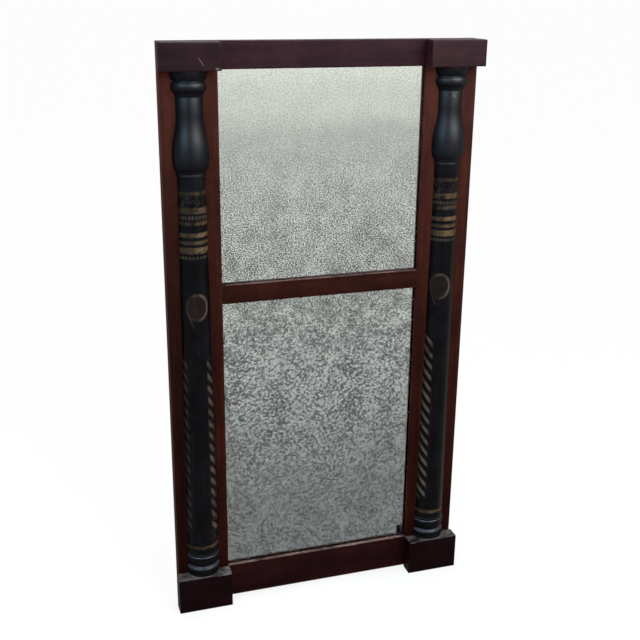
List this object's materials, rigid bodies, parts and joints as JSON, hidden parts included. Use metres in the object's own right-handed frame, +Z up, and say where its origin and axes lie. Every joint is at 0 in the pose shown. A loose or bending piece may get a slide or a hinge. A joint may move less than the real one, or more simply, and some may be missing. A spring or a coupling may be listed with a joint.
{
  "type": "wall mirror",
  "caption": "Tall wall mirror with a short plate over a tall one, a dark wood frame, projecting corner blocks and half-round turned columns.",
  "frame": {"origin": "on the wall plane at the back of the frame, midway between the two hanging holes", "axes": "+X to the right seen from the front, +Y back to the wall, +Z up; the mirror faces -Y"},
  "size_m": [0.456, 0.042, 0.8395],
  "materials": {
    "mahogany_veneer": "old polished mahogany veneer, satin",
    "block_mahogany": "dark stained mahogany, satin",
    "ebonised_wood": "black ebonised and stencilled, satin",
    "stained_core": "softwood, stained at the edges",
    "pine": "old bare pine",
    "plate_glass": "clear, polished",
    "silvering": "reflecting, slightly dulled",
    "iron": "dark wrought iron",
    "brass": "tarnished"
  },
  "bodies": {
    "root": {"backboard_lower": "pine", "backboard_nails": "iron", "backboard_upper": "pine", "block_nails": "iron", "block_veneer_bottom_left": "block_mahogany", "block_veneer_bottom_right": "block_mahogany", "block_veneer_top_left": "block_mahogany", "block_veneer_top_right": "block_mahogany", "bottom_rail": "stained_core", "bottom_rail_veneer": "mahogany_veneer", "column_screws": "iron", "corner_block_bottom_left": "block_mahogany", "corner_block_bottom_right": "block_mahogany", "corner_block_top_left": "block_mahogany", "corner_block_top_right": "block_mahogany", "glass_lower": "plate_glass", "glass_upper": "plate_glass", "glue_blocks_lower": "pine", "glue_blocks_upper": "pine", "half_column_left": "ebonised_wood", "half_column_right": "ebonised_wood", "hanger_plate_left": "brass", "hanger_plate_right": "brass", "hanger_screws": "brass", "joint_pegs": "pine", "middle_rail": "stained_core", "middle_rail_veneer": "mahogany_veneer", "silvering_lower": "silvering", "silvering_upper": "silvering", "stile_left": "stained_core", "stile_right": "stained_core", "stile_veneer_left": "mahogany_veneer", "stile_veneer_right": "mahogany_veneer", "top_rail": "stained_core", "top_rail_veneer": "mahogany_veneer"}
  },
  "joints": []
}
